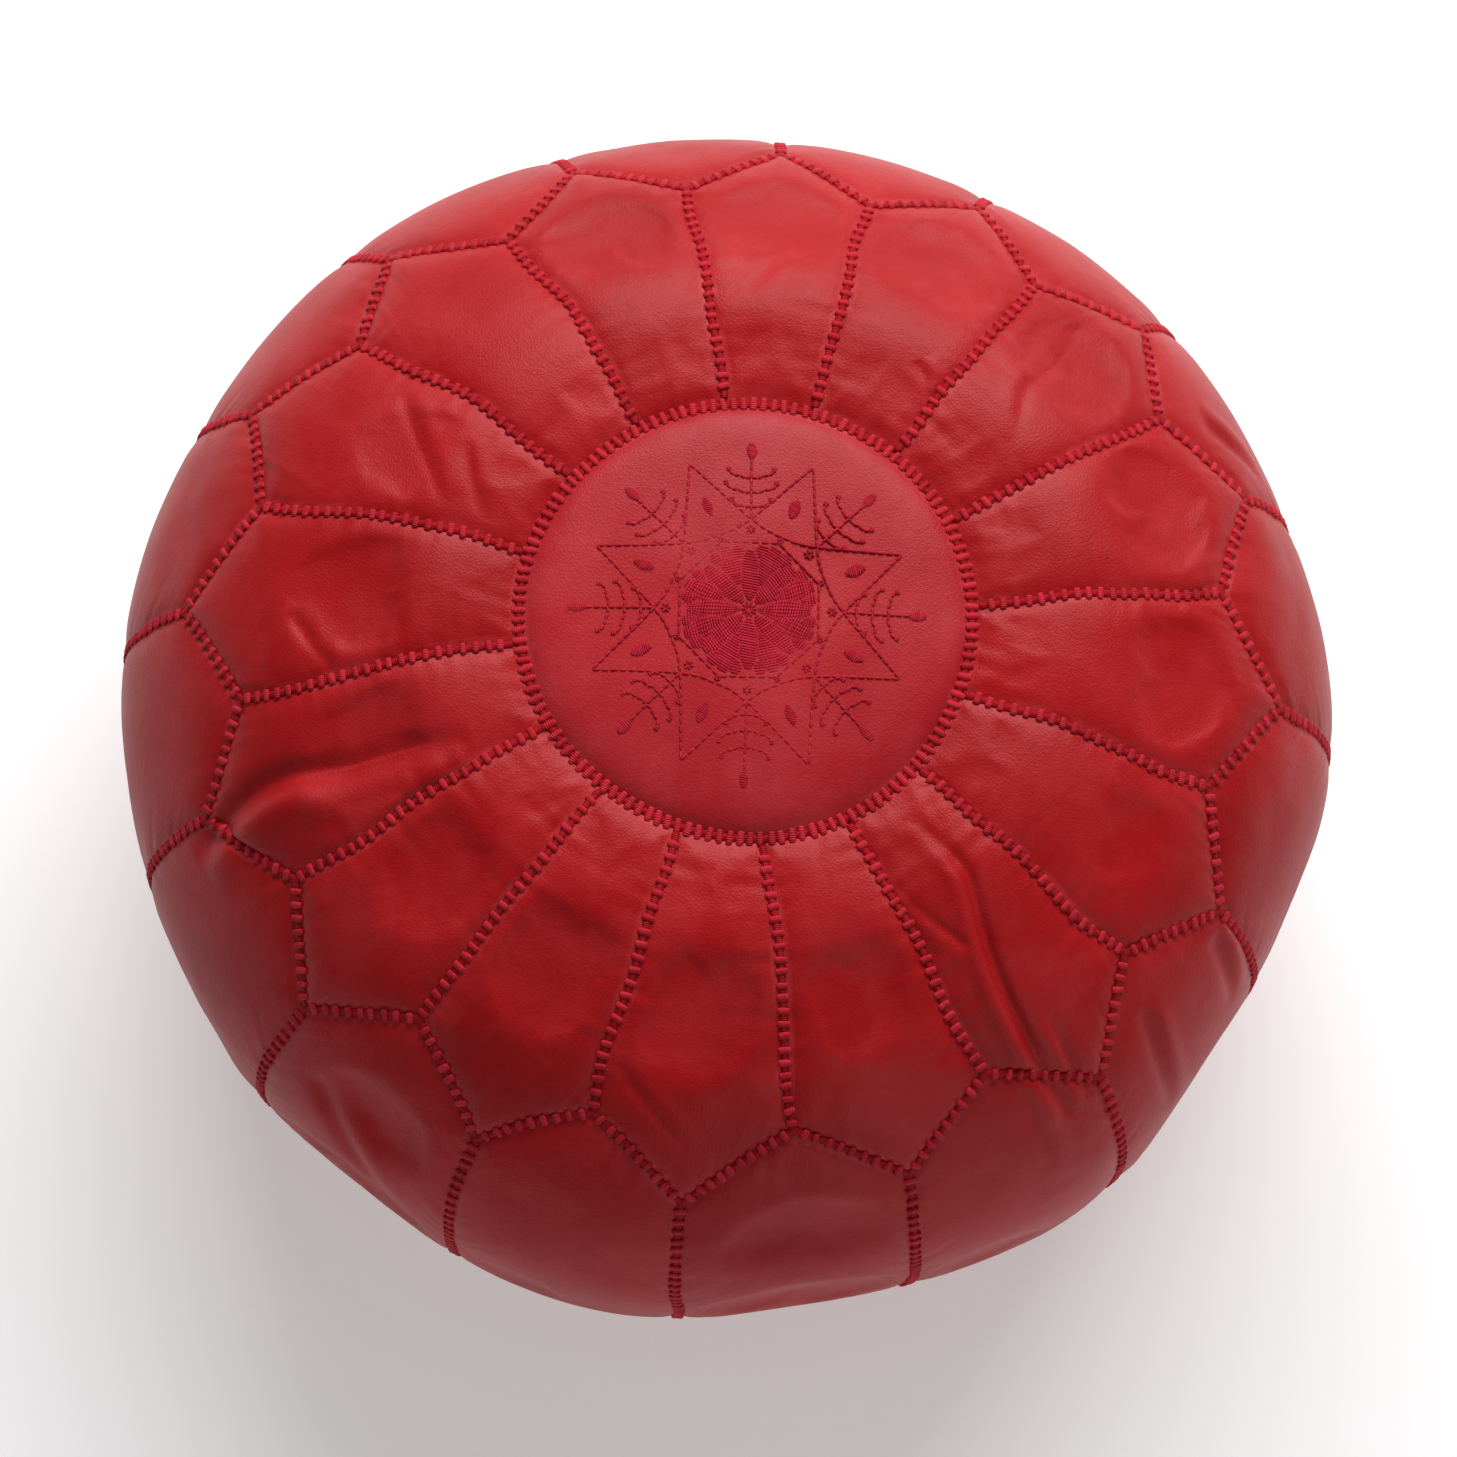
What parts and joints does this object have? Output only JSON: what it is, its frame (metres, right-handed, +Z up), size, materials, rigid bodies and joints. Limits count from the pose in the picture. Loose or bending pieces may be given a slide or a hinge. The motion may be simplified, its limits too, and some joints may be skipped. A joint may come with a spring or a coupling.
{
  "type": "moroccan leather pouf",
  "caption": "Round stuffed leather pouf with an embroidered top medallion, long petals and a zigzag seam over side panels, thick laced stitching and a zip in the base.",
  "frame": {"origin": "middle of the underside, on the floor plane that the pouf stands on", "axes": "+Z up through the medallion, X along the zip in the base with its closed end at +X"},
  "size_m": [0.5412, 0.5412, 0.31],
  "materials": {
    "leather": "satin",
    "medallion_leather": "satin",
    "thread": "matte",
    "liner_cotton": "matte",
    "stuffing": "matte",
    "zip_tape": "matte",
    "zip_brass": "satin"
  },
  "bodies": {
    "cover": {"medallion": "medallion_leather", "top_petal_01": "leather", "top_petal_02": "leather", "top_petal_03": "leather", "top_petal_04": "leather", "top_petal_05": "leather", "top_petal_06": "leather", "top_petal_07": "leather", "top_petal_08": "leather", "top_petal_09": "leather", "top_petal_10": "leather", "top_petal_11": "leather", "top_petal_12": "leather", "top_petal_13": "leather", "top_petal_14": "leather", "top_petal_15": "leather", "top_petal_16": "leather", "side_panel_01": "leather", "side_panel_02": "leather", "side_panel_03": "leather", "side_panel_04": "leather", "side_panel_05": "leather", "side_panel_06": "leather", "side_panel_07": "leather", "side_panel_08": "leather", "side_panel_09": "leather", "side_panel_10": "leather", "side_panel_11": "leather", "side_panel_12": "leather", "side_panel_13": "leather", "side_panel_14": "leather", "side_panel_15": "leather", "side_panel_16": "leather", "base_disc_left": "leather", "base_disc_right": "leather", "medallion_seam_thread": "thread", "petal_seam_threads": "thread", "zigzag_seam_thread": "thread", "side_seam_threads": "thread", "base_seam_thread": "thread", "liner_bag": "liner_cotton", "stuffing": "stuffing", "zip_tape_left": "zip_tape", "zip_tape_right": "zip_tape", "zip_teeth_left": "zip_brass", "zip_teeth_right": "zip_brass", "zip_top_stops": "zip_brass", "zip_bottom_stops": "zip_brass"},
    "zip_slider": {"zip_slider": "zip_brass"},
    "zip_pull": {"zip_pull": "zip_brass"}
  },
  "joints": [
    {"name": "zip_slide", "type": "slide", "parent": "cover", "child": "zip_slider", "axis": [-1, 0, 0], "range_m": [0, 0.196], "deforming": ["zip_teeth_left", "zip_teeth_right"]},
    {"name": "zip_pull_swing", "type": "hinge", "parent": "zip_slider", "child": "zip_pull", "pos_m": [0.0975, 0, 0.00615], "axis": [0, -1, 0], "range_deg": [0, 180]}
  ]
}
